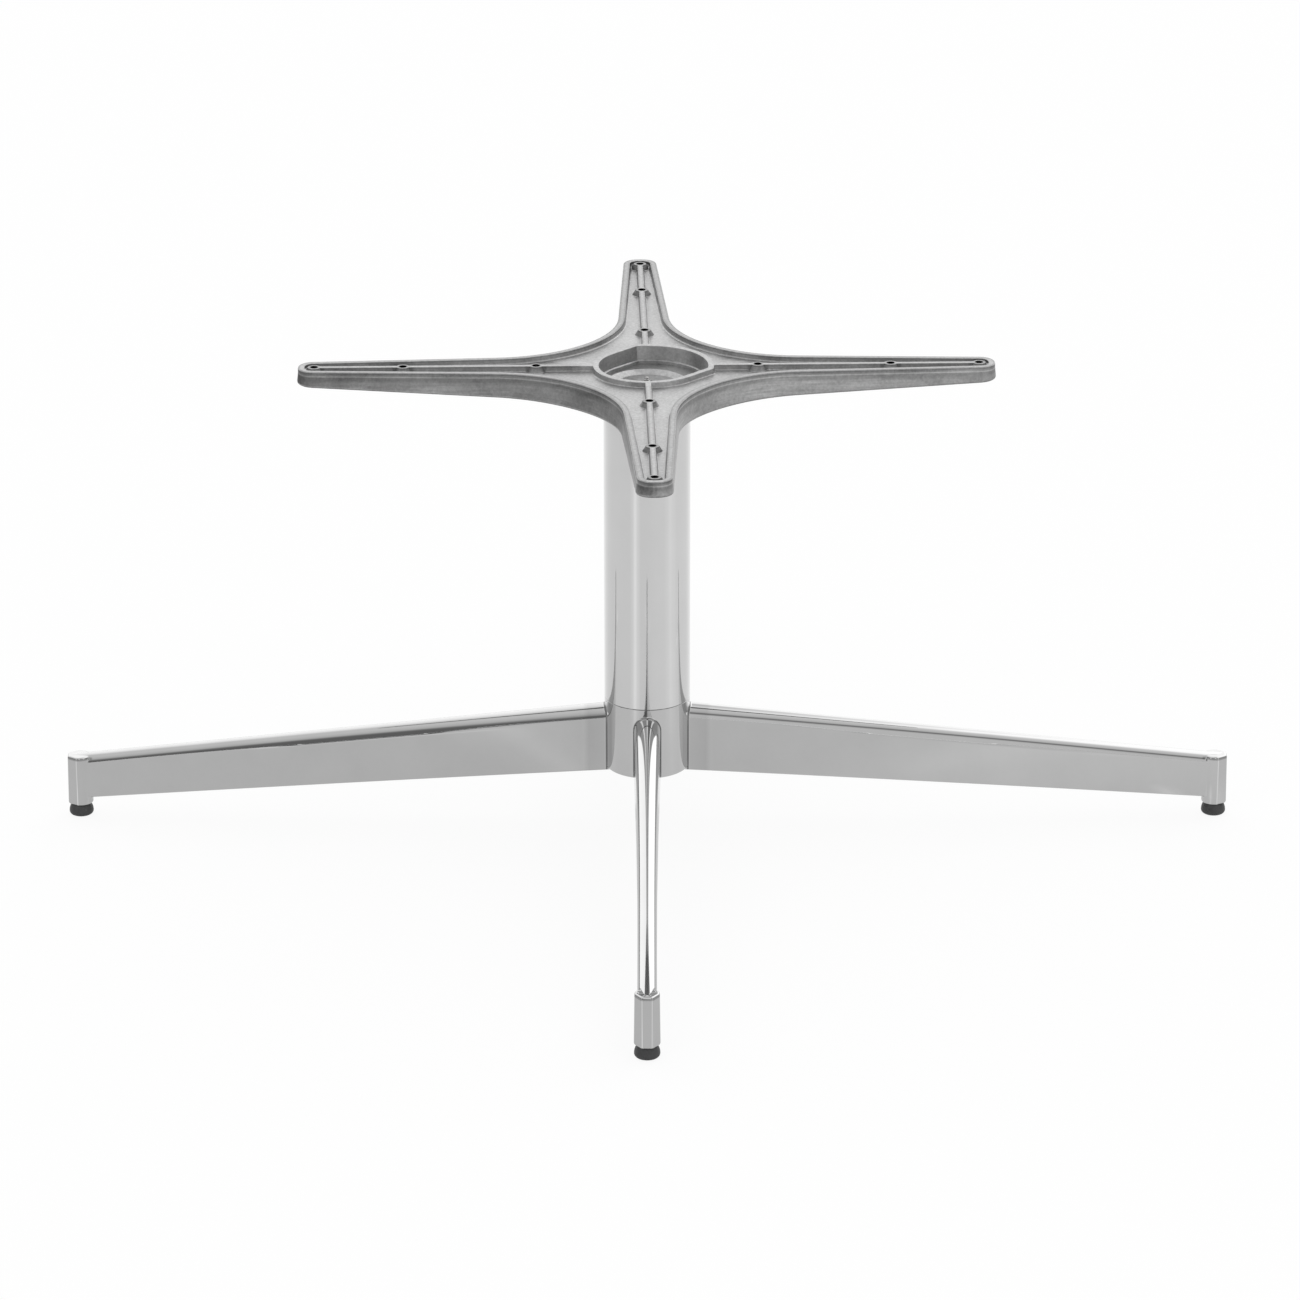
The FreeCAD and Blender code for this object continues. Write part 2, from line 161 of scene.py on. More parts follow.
def paint(tree, shader, grey, tint, rough):
    # the grey becomes a colour with a faint tint
    settings = {"data_type": "RGBA", "blend_type": "MULTIPLY"}
    node = addNode(tree, "ShaderNodeMix", settings, Factor=1.0)
    tree.links.new(grey, node.inputs[6])
    node.inputs[7].default_value = (*tint, 1)
    tree.links.new(node.outputs[2], shader.inputs["Base Color"])
    tree.links.new(rough, shader.inputs["Roughness"])


def addBump(tree, height, distance, strength, shader, before=None):
    node = addNode(tree, "ShaderNodeBump", None, Strength=strength, Distance=distance)
    tree.links.new(height, node.inputs["Height"])
    if before is not None:
        tree.links.new(before, node.inputs["Normal"])
    tree.links.new(node.outputs["Normal"], shader.inputs["Normal"])
    return node.outputs["Normal"]


def hollows(tree, reach, samples=8, inside=False):
    # 1 on open faces, falling to 0 in corners; inside turns it round and finds the outer edges
    settings = {"samples": samples, "only_local": True, "inside": inside}
    return addNode(tree, "ShaderNodeAmbientOcclusion", settings, Distance=reach).outputs["AO"]


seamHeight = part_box("column_tube")[0][2]


def seamShade(tree, look):
    # a fine dark line where the tube stands on the hub
    height = separated(tree, objectPoints(tree))["Z"]
    away = absolute(tree, maths(tree, "SUBTRACT", height, seamHeight))
    return spread(tree, away, look["seamDark"], 1.0, look["seamReach"] / 2, look["seamReach"])


# column: drawn and polished tube

columnLook = {
    "grey": 0.79,
    "tint": (1.0, 1.0, 1.0),
    "greyChange": 0.012,
    "cloudScale": 22.0,
    "roughness": (0.05, 0.09),
    "lineScale": (900, 900, 14),   # fine lines along the tube
    "lineHeight": 0.000004,
    "lineBump": 0.25,
    "seamDark": 0.38,              # how dark the joint line to the hub gets
    "seamReach": 0.0008,
}


def makeColumnMetal():
    look = columnLook
    material, tree, shader = newMaterial("columnMetal", 1.0)
    lines = noise(tree, objectPoints(tree, look["lineScale"]), detail=2.0)
    clouds = noise(tree, objectPoints(tree), look["cloudScale"])
    grey = swing(tree, clouds, look["grey"], look["greyChange"])
    grey = product(tree, grey, seamShade(tree, look))
    paint(tree, shader, grey, look["tint"], spread(tree, lines, *look["roughness"]))
    addBump(tree, lines, look["lineHeight"], look["lineBump"], shader)
    return material


# star base: the form of its casting, which its material follows too

starShape = {
    "hubRadius": 0.0375,
    "ridgeAtHub": 0.1048,      # height of a leg's top line where it leaves the hub
    "ridgeAtFoot": 0.0564,
    "footEnd": 0.5059,
    "halfTip": 0.0079,         # half a leg's width at its foot
    "flareStart": 0.385,       # inwards from here a leg widens,
    "flareArc": 16.6,          # along an arc of this radius
    "crownStart": 0.036,
    "crownCuts": 2,            # how often each edge of a round top is cut
    "mergeDistance": 0.000002,
    "near": 0.00006,           # how close to a surface counts as on it
    "softAngle": 34,           # faces that meet at less than this are shaded as one
    "closeTurn": 0.9,          # an exact direction has to lie this near to the faces' own
}


def legHalf(along):
    inside = max(0.0, starShape["flareStart"] - along)
    return starShape["halfTip"] + inside ** 2 / (2 * starShape["flareArc"])


def ridgeFall():
    drop = starShape["ridgeAtFoot"] - starShape["ridgeAtHub"]
    return drop / (starShape["footEnd"] - starShape["hubRadius"])


def legAxisHeight(along):
    # middle of the round top
    ridge = starShape["ridgeAtHub"] + ridgeFall() * (along - starShape["hubRadius"])
    return ridge - legHalf(along)


# star base: polished casting

starLook = {
    "hubSheenGrey": 0.67,
    "legGrey": 0.61,
    "hubReach": (0.039, 0.060),
    "tint": (1.0, 1.0, 1.0),
    "greyChange": 0.012,
    "roughness": (0.02, 0.05),
    "hazeScale": 26.0,
    "buffScale": (70, 70, 1400),
    "buffHeight": 0.000001,
    "buffBump": 0.2,
    "buffRough": 0.008,
    "seamDark": 0.7,
    "seamReach": 0.0005,
    # where legs leave the hub: a painted shade line in the blend, a painted hub reflection beside it
    "rootHalf": 0.0115,
    "rootHeight": 0.0931,
    "rootLine": (0.0003, 0.0010),
    "rootBlend": (0.0032, 0.0042),
    "rootSide": (-0.0008, 0.0),
    "rootDark": 0.30,
    "rootPatch": (0.0005, 0.0020, 0.0150, 0.0195),
    "rootReflectionDark": 0.87,
    # soft shoulder where the side of a leg turns into its round top
    "shoulderReach": (-0.0020, 0.0024),
    "shoulderRise": 0.0006,
    "shoulderBump": 1.0,
    "shoulderStart": (0.08, 0.20),
    "shoulderEnd": (0.30, 0.45),
    # feet: painted highlights on the upright corners, a painted shade line under the top edge
    "footStart": (0.4885, 0.4900),
    "cornerTurn": (7, 13, 20, 27),
    "cornerLean": (0.1, 0.3),
    "cornerOutward": (0.02, 0.06),
    "cornerHighlight": 1.34,
    "footLine": (0.0531, 0.0540, 0.0552, 0.0558),
    "footLineShade": 0.60,
}


def between(tree, value, start, full, fade, end):
    # 1 from full to fade, 0 before start and after end
    return product(tree, rising(tree, value, start, full), falling(tree, value, fade, end))


def rootShade(tree, points, length):
    look = starLook
    rise = maths(tree, "SUBTRACT", separated(tree, points)["Z"], look["rootHeight"])
    toLeg = hypotenuse(tree, foldedSides(tree, points)[1], maths(tree, "MAXIMUM", rise, 0.0))
    legGap = maths(tree, "SUBTRACT", toLeg, look["rootHalf"])
    hubGap = maths(tree, "SUBTRACT", length, starShape["hubRadius"])
    away = absolute(tree, maths(tree, "SUBTRACT", legGap, hubGap))
    # painted shade line in the blend, and a painted reflection of the hub on the leg beside it
    line = product(tree, falling(tree, away, *look["rootLine"]),
                   falling(tree, maths(tree, "MAXIMUM", legGap, hubGap), *look["rootBlend"]),
                   rising(tree, legGap, *look["rootSide"]))
    patch = between(tree, hubGap, *look["rootPatch"])
    return product(tree, towards(tree, line, look["rootDark"]),
                   towards(tree, patch, look["rootReflectionDark"]))


def legShoulder(tree, points, along):
    # height of the shoulder, 0 on the round top and 1 on the flat side below it
    look, shape = starLook, starShape
    inside = maths(tree, "MAXIMUM", maths(tree, "SUBTRACT", shape["flareStart"], along), 0.0)
    flare = maths(tree, "DIVIDE", maths(tree, "POWER", inside, 2.0), 2 * shape["flareArc"])
    axis = maths(tree, "SUBTRACT", maths(tree, "MULTIPLY", along, ridgeFall()), flare)
    start = shape["ridgeAtHub"] - ridgeFall() * shape["hubRadius"] - shape["halfTip"]
    depth = maths(tree, "SUBTRACT", maths(tree, "ADD", axis, start), separated(tree, points)["Z"])
    low, high = look["shoulderReach"]
    node = addNode(tree, "ShaderNodeMapRange", {"interpolation_type": "SMOOTHSTEP"},
                   From_Min=low, From_Max=high)
    tree.links.new(depth, node.inputs["Value"])
    return product(tree, node.outputs["Result"], rising(tree, along, *look["shoulderStart"]),
                   falling(tree, along, *look["shoulderEnd"]))


def footShade(tree, points, along):
    look = starLook
    facing = addNode(tree, "ShaderNodeNewGeometry").outputs["Normal"]
    most, least = foldedSides(tree, facing)
    turn = maths(tree, "ARCTAN2", least, most)
    onFoot = rising(tree, along, *look["footStart"])
    turns = [math.radians(value) for value in look["cornerTurn"]]
    lean = absolute(tree, separated(tree, facing)["Z"])
    outward = vectorMaths(tree, "DOT_PRODUCT", facing, points)
    # painted highlights on the upright corners, a painted shade line under the top edge
    corner = product(tree, between(tree, turn, *turns), falling(tree, lean, *look["cornerLean"]),
                     rising(tree, outward, *look["cornerOutward"]), onFoot)
    line = product(tree, between(tree, separated(tree, points)["Z"], *look["footLine"]), onFoot)
    return product(tree, towards(tree, corner, look["cornerHighlight"]),
                   towards(tree, line, look["footLineShade"]))


def makePolishedCasting():
    look = starLook
    material, tree, shader = newMaterial("polishedCasting", 1.0)
    points = objectPoints(tree)
    along = foldedSides(tree, points)[0]
    length = levelLength(tree)
    haze = noise(tree, points, look["hazeScale"], detail=4.0, roughness=0.6)
    buff = noise(tree, objectPoints(tree, look["buffScale"]), detail=2.0)
    # the hub is painted a little brighter than the legs, a painted reflection
    grey = spread(tree, length, look["hubSheenGrey"], look["legGrey"], *look["hubReach"])
    grey = maths(tree, "ADD", grey, swing(tree, haze, 0.0, look["greyChange"]))
    grey = product(tree, grey, rootShade(tree, points, length), seamShade(tree, look),
                   footShade(tree, points, along))
    rough = maths(tree, "ADD", spread(tree, haze, *look["roughness"]),
                  swing(tree, buff, 0.0, look["buffRough"]))
    paint(tree, shader, grey, look["tint"], rough)
    shoulder = legShoulder(tree, points, along)
    shoulder = addBump(tree, shoulder, look["shoulderRise"], look["shoulderBump"], shader)
    addBump(tree, buff, look["buffHeight"], look["buffBump"], shader, shoulder)
    return material


# top spider: sand-cast skin, ground along its sides

spiderLook = {
    "turn": 1.28,                  # degrees from the legs' directions to the arms'
    "grey": 0.43,
    "tint": (1.0, 1.0, 1.0),
    "roughness": (0.32, 0.50),
    "blotch": 0.08,
    "blotchScale": 30.0,
    "speck": 0.08,
    "speckScale": 380.0,
    "skinHeight": 0.00016,
    "skinBump": 0.6,
    "pitHeight": 0.00008,
    "pitBump": 0.5,
    # upright sides: rubbed a little brighter, in soft patches with scratches
    "sideGrey": 0.055,
    "sideStart": (0.060, 0.070),
    "sideOpen": (0.7, 0.95),
    "patch": 0.09,
    "patchScale": (17, 17, 60),
    "scratch": 0.11,
    "scratchScale": (26, 26, 620),
    "scratchPatch": (0.45, 0.62),
    "scratchLeast": 0.1,
    # parting line: a light ridge on the sides as a painted highlight, painted shade above and just
    # below it
    "bandHeight": 0.0037,          # from the top down to the parting line
    "bandShade": 0.74,
    "bandFull": 0.9,
    "bandAbove": (-0.0009, -0.0004),
    "bandTop": (0.0004, 0.0010),
    "bandBelow": (0.0004, 0.0010, 0.0030, 0.0062),
    "partingHighlight": 0.10,
    "partingWidth": (0.0002, 0.0007),
    # painted shade on the rims, on the flanks of the screw bosses and in the holes
    "rimShade": 0.86,
    "rimAcross": (0.0062, 0.0072),
    "rimDepth": (0.0006, 0.0012),
    "rimStart": (0.066, 0.072),
    "bossShade": 0.66,
    "bossReach": (0.0085, 0.0105),
    "bossLean": (0.80, 0.97),
    "screwCircles": (0.09525, 0.20955, 0.28575),
    "screwHole": 0.0034,
    "holeShade": 0.10,
    # painted shade in the hollows, less of it in the pocket, and painted light on the pocket's walls
    "hollowReach": 0.010,
    "hollowDark": 0.50,
    "hollowSpan": (0.1, 0.85),
    "crackReach": 0.0025,
    "crackDark": 0.50,
    "crackSpan": (0.35, 0.8),
    "pocketReach": (0.056, 0.066),
    "pocketLift": 0.70,
    "dishReach": (0.0340, 0.0360),
    "dishLight": 0.14,
    "wallLight": 0.09,
    "wallLean": (0.3, 0.9),
    # painted shade along the rounded outer edges and on the undersides
    "edgeReach": 0.0032,
    "edgeDark": 0.42,
    "edgeSpan": (0.55, 0.88),
    "underShade": 0.60,
    "underLean": (-0.6, -0.1),
}


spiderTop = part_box("top_spider")[1][2]


def armPlaces(tree, points):
    # how far across the nearest arm, and how far from its nearest screw hole
    angle = -math.radians(spiderLook["turn"])
    turn = addNode(tree, "ShaderNodeMapping", None, Rotation=(0, 0, angle))
    tree.links.new(points, turn.inputs["Vector"])
    along, across = foldedSides(tree, turn.outputs["Vector"])
    nearest, *others = [absolute(tree, maths(tree, "SUBTRACT", along, radius))
                        for radius in spiderLook["screwCircles"]]
    for other in others:
        nearest = maths(tree, "MINIMUM", nearest, other)
    return across, hypotenuse(tree, nearest, across)


def rubbedSides(tree, upright):
    look = spiderLook
    patch = noise(tree, objectPoints(tree, look["patchScale"]), roughness=0.5, distortion=0.4)
    scratch = noise(tree, objectPoints(tree, look["scratchScale"]), roughness=0.6, distortion=0.3)
    marks = product(tree, swing(tree, scratch, 0.0, look["scratch"]),
                    spread(tree, patch, look["scratchLeast"], 1.0, *look["scratchPatch"]))
    rubbed = maths(tree, "ADD", swing(tree, patch, look["sideGrey"], look["patch"]), marks)
    return product(tree, rubbed, upright)


def partingLine(tree, grey, under, upright):
    look = spiderLook
    # painted shade on the band above the parting line and just below it, a painted highlight on the
    # line
    fromLine = maths(tree, "SUBTRACT", under, look["bandHeight"])
    above = product(tree, falling(tree, fromLine, *look["bandAbove"]),
                    rising(tree, under, *look["bandTop"]))
    below = between(tree, fromLine, *look["bandBelow"])
    bandShading = product(tree, maths(tree, "MAXIMUM", above, below), upright)
    grey = product(tree, grey, spread(tree, bandShading, 1.0, look["bandShade"], 0.0, look["bandFull"]))
    ridge = spread(tree, absolute(tree, fromLine), look["partingHighlight"], 0.0, *look["partingWidth"])
    return maths(tree, "ADD", grey, product(tree, ridge, upright))


def hollowShade(tree, reach, bare):
    # painted shade in the hollows and cracks, less of it in the pocket
    look = spiderLook
    cracks = hollows(tree, look["crackReach"])
    shade = product(tree, spread(tree, bare, look["hollowDark"], 1.0, *look["hollowSpan"]),
                    spread(tree, cracks, look["crackDark"], 1.0, *look["crackSpan"]))
    spared = spread(tree, reach, look["pocketLift"], 0.0, *look["pocketReach"])
    return maths(tree, "ADD", shade, product(tree, spared, maths(tree, "SUBTRACT", 1.0, shade)))


def pocketWallLight(tree, reach, level):
    # painted light on the pocket's upright walls
    look = spiderLook
    lift = maths(tree, "ADD", spread(tree, reach, look["dishLight"], 0.0, *look["dishReach"]),
                 spread(tree, reach, look["wallLight"], 0.0, *look["pocketReach"]))
    return product(tree, lift, falling(tree, level, *look["wallLean"]))


def edgeShade(tree, reach):
    # painted shade along the rounded outer edges, spared in the pocket
    look = spiderLook
    edge = hollows(tree, look["edgeReach"], samples=16, inside=True)
    edge = spread(tree, edge, look["edgeDark"], 1.0, *look["edgeSpan"])
    return maths(tree, "MAXIMUM", edge, falling(tree, reach, *look["pocketReach"]))


def makeRawCasting():
    look = spiderLook
    material, tree, shader = newMaterial("rawCasting", 1.0)
    points = objectPoints(tree)
    blotch = noise(tree, points, look["blotchScale"], detail=6.0, roughness=0.62, distortion=0.6)
    speck = noise(tree, points, look["speckScale"], roughness=0.7)
    across, toHole = armPlaces(tree, points)
    reach = levelLength(tree)
    under = maths(tree, "SUBTRACT", spiderTop, separated(tree, points)["Z"])
    lean = separated(tree, addNode(tree, "ShaderNodeNewGeometry").outputs["Normal"])["Z"]
    level = absolute(tree, lean)
    bare = hollows(tree, look["hollowReach"])
    # patches, scratches and the parting line show on the upright outer faces only
    upright = product(tree, maths(tree, "SUBTRACT", 1.0, level),
                      rising(tree, reach, *look["sideStart"]), rising(tree, bare, *look["sideOpen"]))
    grey = maths(tree, "ADD", swing(tree, blotch, look["grey"], look["blotch"]),
                 swing(tree, speck, 0.0, look["speck"]))
    grey = maths(tree, "ADD", grey, rubbedSides(tree, upright))
    grey = partingLine(tree, grey, under, upright)
    # painted shade on the rims and on the boss flanks
    rim = product(tree, rising(tree, across, *look["rimAcross"]),
                  falling(tree, under, *look["rimDepth"]), rising(tree, reach, *look["rimStart"]))
    flank = product(tree, falling(tree, toHole, *look["bossReach"]),
                    falling(tree, level, *look["bossLean"]))
    grey = product(tree, grey, towards(tree, rim, look["rimShade"]),
                   towards(tree, flank, look["bossShade"]), hollowShade(tree, reach, bare))
    # painted light on the pocket walls
    grey = maths(tree, "ADD", grey, pocketWallLight(tree, reach, level))
    # painted shade in the screw holes
    hole = maths(tree, "LESS_THAN", toHole, look["screwHole"])
    # painted shade on the edges and the undersides, and in the screw holes
    grey = product(tree, grey, edgeShade(tree, reach),
                   spread(tree, lean, look["underShade"], 1.0, *look["underLean"]),
                   towards(tree, hole, look["holeShade"]))
    paint(tree, shader, grey, look["tint"], spread(tree, blotch, *look["roughness"]))
    skin = addBump(tree, blotch, look["skinHeight"], look["skinBump"], shader)
    addBump(tree, speck, look["pitHeight"], look["pitBump"], shader, skin)
    return material


# rod, nuts, washers and glide screws

steelLook = {
    "grey": 0.5,
    "greyChange": 0.05,
    "tint": (1.0, 0.995, 0.98),
    "roughness": (0.22, 0.38),
    "patchScale": 160.0,
    "lineScale": (60, 60, 2600),
    "lineHeight": 0.00001,
    "lineBump": 0.4,
    "threadPitch": 0.00125,
    "threadHeight": 0.0007,
    "threadBump": 0.8,
    "threadRootShade": 0.45,
    "threadRoot": (0.0, 0.5),
}


def threadCrest(tree, points):
    # a screw thread round the upright axis, 0 at its root and 1 on its crest
    parts = separated(tree, points)
    turn = maths(tree, "DIVIDE", maths(tree, "ARCTAN2", parts["Y"], parts["X"]), 2 * math.pi)
    rise = maths(tree, "DIVIDE", parts["Z"], steelLook["threadPitch"])
    # so many whole turns up, the count never falls below zero
    place = maths(tree, "FRACT", maths(tree, "ADD", maths(tree, "SUBTRACT", rise, turn), 1000.0))
    return absolute(tree, maths(tree, "SUBTRACT", maths(tree, "MULTIPLY", place, 2.0), 1.0))


def makeFastenerSteel(name, threaded):
    look = steelLook
    material, tree, shader = newMaterial(name, 1.0)
    points = objectPoints(tree)
    lines = noise(tree, objectPoints(tree, look["lineScale"]), detail=2.0)
    patches = noise(tree, points, look["patchScale"])
    grey = swing(tree, patches, look["grey"], look["greyChange"])
    before = addBump(tree, lines, look["lineHeight"], look["lineBump"], shader)
    if threaded:
        thread = threadCrest(tree, points)
        # painted shade in the thread's roots
        grey = product(tree, grey, spread(tree, thread, look["threadRootShade"], 1.0, *look["threadRoot"]))
        addBump(tree, thread, look["threadHeight"], look["threadBump"], shader, before)
    paint(tree, shader, grey, look["tint"], spread(tree, patches, *look["roughness"]))
    return material


# glides: dark moulded plastic

glideLook = {
    "grey": (0.0527, 0.0744),
    "tint": (1.0, 1.0, 1.02),
    "roughness": (0.38, 0.55),
    "wearScale": 130.0,
    "grainScale": 900.0,
    "grainHeight": 0.00003,
    "grainBump": 0.5,
}


def makeGlidePlastic():
    look = glideLook
    material, tree, shader = newMaterial("glidePlastic", 0.0)
    points = objectPoints(tree)
    grain = noise(tree, points, look["grainScale"], detail=2.0)
    wear = noise(tree, points, look["wearScale"], detail=4.0)
    grey = spread(tree, wear, *look["grey"])
    paint(tree, shader, grey, look["tint"], spread(tree, wear, *look["roughness"]))
    addBump(tree, grain, look["grainHeight"], look["grainBump"], shader)
    return material


# each CAD part takes the look whose name its own name starts with, and else the steel

looks = {
    "column_tube": makeColumnMetal(),
    "star_base": makePolishedCasting(),
    "top_spider": makeRawCasting(),
    "glide_pad": makeGlidePlastic(),
    "tie_rod": makeFastenerSteel("rodSteel", True),
    "steel": makeFastenerSteel("fastenerSteel", False),
}


def lookFor(nodeName):
    for start, material in looks.items():
        if nodeName.startswith(start):
            return material
    return looks["steel"]


for nodeName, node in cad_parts.items():
    node.data.materials.clear()
    node.data.materials.append(lookFor(nodeName))
print("materials on", len(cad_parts), "parts")


# star base: the casting's own shape, its legs rounded finer on top so that they mirror evenly

def legFrame(place):
    # turns a place so that its leg runs along x, and gives the turn back
    quarter = round(math.atan2(place.y, place.x) / (math.pi / 2)) * math.pi / 2
    return Matrix.Rotation(-quarter, 3, "Z") @ place, Matrix.Rotation(quarter, 3, "Z")


def onCrown(local):
    if not starShape["crownStart"] < local.x < starShape["footEnd"]:
        return False
    height = local.z - legAxisHeight(local.x)
    near = starShape["near"]
    return height > -near and abs(math.hypot(local.y, height) - legHalf(local.x)) < near


def trueNormals(place):
    # the exact directions of the smooth surfaces that a point of the star lies on
    found = []
    local, back = legFrame(place)
    half = legHalf(local.x)
    slope = -max(0.0, starShape["flareStart"] - local.x) / starShape["flareArc"]
    if onCrown(local):
        height = local.z - legAxisHeight(local.x)
        lean = -height * (ridgeFall() - slope) - half * slope
        found.append(back @ Vector((lean, local.y, height)).normalized())
    if abs(abs(local.y) - half) < starShape["near"] and local.x > starShape["crownStart"]:
        found.append(back @ Vector((-slope, math.copysign(1, local.y), 0)).normalized())
    if abs(math.hypot(place.x, place.y) - starShape["hubRadius"]) < starShape["near"]:
        found.append(Vector((place.x, place.y, 0)).normalized())
    return found


def smoothCorners(work):
    limit = math.cos(math.radians(starShape["softAngle"]))
    work.normal_update()
    areas = {face: face.calc_area() for face in work.faces}
    exact = {vert: trueNormals(vert.co) for vert in work.verts}
    normals = []
    for face in work.faces:
        for loop in face.loops:
            total = Vector((0, 0, 0))
            for other in loop.vert.link_faces:
                if other.normal.dot(face.normal) > limit:
                    total += other.normal * areas[other]
            best = total.normalized()
            for normal in exact[loop.vert]:
                if normal.dot(face.normal) > limit and normal.dot(best) > starShape["closeTurn"]:
                    best = normal
                    break
            normals.append(best)
    return normals


def roundCrown(work):
    # cuts the round tops finer and puts each new point on the exact round
    crown = {vert for vert in work.verts if onCrown(legFrame(vert.co)[0])}
    split = [edge for edge in work.edges if edge.verts[0] in crown and edge.verts[1] in crown]
    result = bmesh.ops.subdivide_edges(work, edges=split, cuts=starShape["crownCuts"],
                                       use_grid_fill=True)
    for vert in result["geom_inner"]:
        if isinstance(vert, bmesh.types.BMVert):
            local, back = legFrame(vert.co)
            axis = legAxisHeight(local.x)
            out = Vector((0, local.y, local.z - axis)).normalized() * legHalf(local.x)
            vert.co = back @ Vector((local.x, out.y, axis + out.z))


def makeStar():
    work = bmesh.new()
    work.from_mesh(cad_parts["star_base"].data)
    bmesh.ops.remove_doubles(work, verts=work.verts, dist=starShape["mergeDistance"])
    roundCrown(work)
    bmesh.ops.triangulate(work, faces=work.faces)
    for face in work.faces:
        face.smooth = True
    mesh = bpy.data.meshes.new("starBase")
    work.to_mesh(mesh)
    for name in ("custom_normal", "sharp_face", "sharp_edge"):
        if name in mesh.attributes:
            mesh.attributes.remove(mesh.attributes[name])
    mesh.normals_split_custom_set(smoothCorners(work))
    work.free()
    star = bpy.data.objects.new("starBase", mesh)
    scene.collection.objects.link(star)
    mesh.materials.clear()
    mesh.materials.append(looks["star_base"])
    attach(star, "root")
    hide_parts("star_base")


makeStar()
print("star base ready")


# studio: pale floor and a soft wall of light behind and above, darker towards the camera

studio = {
    # brightness over the object, by degrees from the horizon behind (0) over the top to
    # the one in front (180)
    "leftLight": [
        (0, 1.42), (24, 1.42), (40, 1.36), (56, 1.30), (66, 1.18), (74, 1.02), (82, 0.86),
        (92, 0.785), (112, 0.78), (130, 0.70), (141, 0.63), (149, 0.50), (157, 0.27),
        (168, 0.17), (180, 0.16)],
    "rightLight": [
        (0, 1.46), (24, 1.42), (34, 1.22), (44, 0.86), (52, 0.66), (62, 0.66), (72, 0.79),
        (84, 0.83), (100, 0.74), (122, 0.69), (131, 0.57), (138, 0.24), (143, 0.24), (150, 0.54),
        (160, 0.74), (180, 0.73)],
    "farRightLight": [
        (0, 1.66), (60, 1.62), (74, 1.55), (82, 1.40), (90, 1.07), (99, 0.86), (112, 0.79),
        (124, 0.72), (132, 0.50), (138, 0.24), (144, 0.24), (151, 0.52), (162, 0.70),
        (180, 0.73)],
    "rightStart": (-0.07, 0.07),
    "farRightStart": (0.12, 0.195),
    "sideLight": 0.50,
    "sideStart": (0.62, 0.86),
    "ceiling": 2.0,                # no light is brighter than this
    # lights in front: an upright strip on each side of the camera, and a soft patch over it
    # for the front leg
    "frontLights": [
        {"middle": 46, "half": (3.2, 8), "heights": (0.05, 0.15, 0.64, 0.80), "light": 1.5},
        {"middle": 0, "half": (4, 8), "heights": (0.33, 0.43, 0.75, 0.85), "light": 1.3},
    ],
    # floor: painted pale near the object and darker far out, a painted pool of light for metal to
    # mirror
    "floorHalf": 9.0,
    "floorGrey": 0.60,
    "floorFarGrey": 0.12,
    "floorFade": (1.05, 1.5),
    "cameraShare": 0.90,           # how much of its white the camera sees as given, without shadow
    "mirrorShare": 0.80,
    "mirrorRight": (-0.05, 0.05),  # to the right of here polished metal sees no dark far floor
    # what polished metal sees in the floor, by direction from the column: degrees from the
    # camera's side, minus is left
    "floorShine": [
        (-180, 1.0), (-152, 0.98), (-136, 0.84), (-122, 0.77), (-104, 0.73), (-60, 0.72),
        (-14, 0.72), (0, 0.72), (30, 0.745), (46, 0.75), (80, 0.77), (104, 0.775), (122, 0.79),
        (136, 0.86), (152, 0.98), (180, 1.0)],
    "streaks": [
        (-46, 0.0), (-39, 0.25), (-31, 1.0), (-24, 0.35), (-16, 0.0), (44, 0.0), (54, 0.18),
        (63, 0.42), (72, 0.22), (86, 0.0)],
    "streakLift": 0.25,
    "columnStreak": (0.35, 1.0, 0.22, 0.33),
    "footStreak": (0.8, 0.0, 0.06, 0.10),
    "streakFeet": ("glide_pad_front", "glide_pad_left", "glide_pad_right"),
}


def plainGrey(level):
    return (level, level, level, 1)


def rampOf(tree, place, stops, start, end):
    # stops are (degrees, level) and place runs 0..1 from start to end
    node = addNode(tree, "ShaderNodeValToRGB")
    ramp = node.color_ramp
    ramp.interpolation = "EASE"
    while len(ramp.elements) > 1:
        ramp.elements.remove(ramp.elements[-1])
    for index, (degrees, level) in enumerate(stops):
        where = (degrees - start) / (end - start)
        stop = ramp.elements[0] if index == 0 else ramp.elements.new(where)
        stop.position = where
        stop.color = plainGrey(level)
    tree.links.new(place, node.inputs["Fac"])
    return node.outputs["Color"]


def mixColours(tree, factor, first, second):
    node = addNode(tree, "ShaderNodeMix", {"data_type": "RGBA"})
    for key, value in (("Factor", factor), (6, first), (7, second)):
        socket = node.inputs[key]
        if isinstance(value, tuple):
            socket.default_value = value
        else:
            tree.links.new(value, socket)
    return node.outputs[2]


def overhead(tree, angle, name):
    # levels above one are scaled down for the ramp and up again after it
    stops = [(degrees, level / studio["ceiling"]) for degrees, level in studio[name]]
    return rampOf(tree, angle, stops, 0, 180)


def directionRound(tree, parts):
    # radians from the camera's side, plus is right
    return maths(tree, "ARCTAN2", parts["X"], maths(tree, "MULTIPLY", parts["Y"], -1.0))


def frontLight(tree, parts, light):
    # 1 inside the light and 0 around it
    turn = absolute(tree, directionRound(tree, parts))
    away = absolute(tree, maths(tree, "SUBTRACT", turn, math.radians(light["middle"])))
    inner, outer = (math.radians(value) for value in light["half"])
    return product(tree, falling(tree, away, inner, outer),
                   between(tree, parts["Z"], *light["heights"]))


